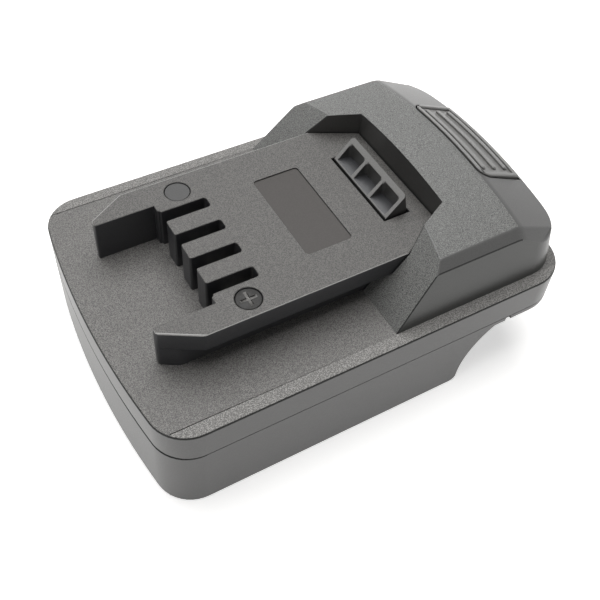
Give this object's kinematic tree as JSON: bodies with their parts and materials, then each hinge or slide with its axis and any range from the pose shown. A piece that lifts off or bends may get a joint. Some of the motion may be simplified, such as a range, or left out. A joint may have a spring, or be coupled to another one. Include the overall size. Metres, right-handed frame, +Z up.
{
  "type": "tool battery adapter",
  "caption": "Slide-on battery adapter for a cordless tool: rail deck with contact slots and sprung latch on top, thumb release on the rear band, open battery socket underneath.",
  "frame": {"origin": "middle of the bottom rim, in plan the middle of the housing", "axes": "+X along the housing from the nose to the release button, +Y across it, +Z up through the rail deck"},
  "size_m": [0.1156, 0.0788, 0.047],
  "materials": {
    "shell_plastic": "fine moulded grain",
    "deck_plastic": "fine moulded grain",
    "slider_plastic": "smooth satin",
    "screw_steel": "blackened",
    "spring_steel": "drawn wire",
    "insulator_plastic": "smooth",
    "contact_metal": "stamped",
    "board_laminate": "solder mask",
    "chip_plastic": "moulded",
    "capacitor_body": "fired"
  },
  "bodies": {
    "housing": {"upper_shell": "shell_plastic", "lower_shell": "shell_plastic", "rail_deck": "deck_plastic", "latch_spring_left": "spring_steel", "latch_spring_right": "spring_steel", "deck_screws": "screw_steel", "screw_plug": "deck_plastic", "housing_screws": "screw_steel", "contact_carrier": "insulator_plastic", "contact_clip_1": "contact_metal", "contact_clip_2": "contact_metal", "contact_clip_3": "contact_metal", "contact_clip_4": "contact_metal", "circuit_board": "board_laminate", "power_transistors": "chip_plastic", "control_chip": "chip_plastic", "chip_resistors": "chip_plastic", "smoothing_capacitors": "capacitor_body", "blade_holder": "insulator_plastic", "holder_screws": "screw_steel", "power_blade_left": "contact_metal", "power_blade_right": "contact_metal", "signal_blade_left": "contact_metal", "signal_blade_right": "contact_metal"},
    "release": {"release_slider": "slider_plastic"}
  },
  "joints": [
    {"name": "release_press", "type": "slide", "parent": "housing", "child": "release", "axis": [0, 0, -1], "range_m": [0, 0.0055], "stiffness_N_per_m": 800, "springref_m": -0.004, "deforming": ["latch_spring_left", "latch_spring_right"]}
  ]
}
